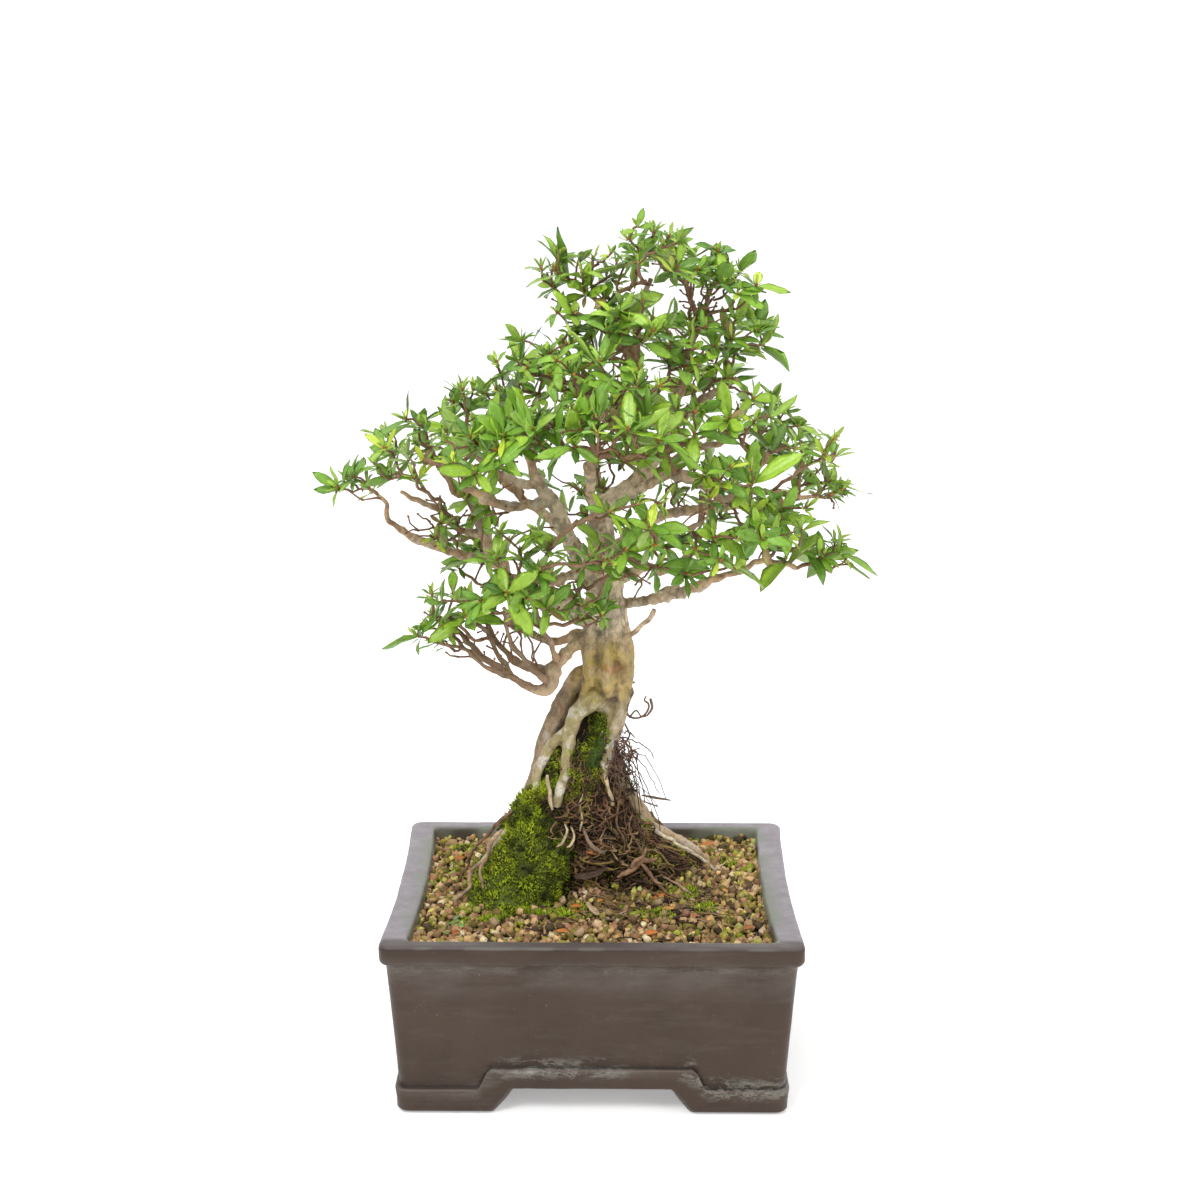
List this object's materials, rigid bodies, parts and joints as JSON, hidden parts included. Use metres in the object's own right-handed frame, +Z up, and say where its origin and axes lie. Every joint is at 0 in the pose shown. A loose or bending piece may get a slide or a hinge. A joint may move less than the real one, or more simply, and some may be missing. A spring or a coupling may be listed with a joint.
{
  "type": "satsuki azalea bonsai in a pot",
  "caption": "Satsuki azalea bonsai with an exposed-root trunk and an open crown of small leaf whorls, in a deep rectangular footed ceramic pot.",
  "frame": {"origin": "centre of the pot's footprint, on the surface that its feet stand on", "axes": "+Z up along the tree, +X towards the right and -Y towards the viewer as in the front view, along the pot's long and short sides"},
  "size_m": [0.3278, 0.2232, 0.5202],
  "materials": {
    "glazed_ceramic": "satin",
    "mesh_plastic": "matte",
    "wire": "satin",
    "soil": "matte",
    "root_ball": "matte",
    "moss": "matte",
    "bark": "matte",
    "chip": "matte",
    "leaf": "satin"
  },
  "bodies": {
    "root": {"pot": "glazed_ceramic", "drain_mesh_left": "mesh_plastic", "drain_mesh_right": "mesh_plastic", "mesh_wire_left": "wire", "mesh_wire_right": "wire", "soil": "soil", "root_ball": "root_ball", "moss_bank": "moss", "trunk": "bark", "bark_chip_large": "chip", "bark_chip_long": "chip", "wood_chip": "chip", "shoot_apex_front": "leaf", "shoot_apex_back": "leaf", "shoot_apex_left": "leaf", "shoot_apex_left_tip": "leaf", "shoot_apex_right": "leaf", "shoot_apex_right_tip": "leaf", "shoot_upper_left": "leaf", "shoot_upper_front": "leaf", "shoot_upper_back": "leaf", "shoot_upper_right": "leaf", "shoot_upper_right_tip": "leaf", "shoot_upper_right_back": "leaf", "shoot_shoulder_left": "leaf", "shoot_shoulder_left_back": "leaf", "shoot_shoulder_middle": "leaf", "shoot_shoulder_centre": "leaf", "shoot_left_upper": "leaf", "shoot_left_upper_front": "leaf", "shoot_left_outer": "leaf", "shoot_left_outer_front": "leaf", "shoot_left_tip": "leaf", "shoot_left_inner": "leaf", "shoot_left_inner_back": "leaf", "shoot_centre_left": "leaf", "shoot_centre": "leaf", "shoot_centre_back": "leaf", "shoot_centre_right": "leaf", "shoot_right_upper": "leaf", "shoot_right_shoulder": "leaf", "shoot_right_shoulder_back": "leaf", "shoot_right_outer": "leaf", "shoot_right_outer_back": "leaf", "shoot_right_tip": "leaf", "shoot_right_middle": "leaf", "shoot_right_hanging": "leaf", "shoot_right_low_tip": "leaf", "shoot_right_low": "leaf", "shoot_centre_low": "leaf", "shoot_centre_low_left": "leaf", "shoot_left_low": "leaf", "shoot_left_low_outer": "leaf", "shoot_left_low_upper": "leaf", "shoot_left_low_front": "leaf", "shoot_trunk_sprig": "leaf", "shoot_left_low_back": "leaf", "shoot_right_back": "leaf", "shoot_middle_back": "leaf", "shoot_low_back": "leaf"}
  },
  "joints": []
}
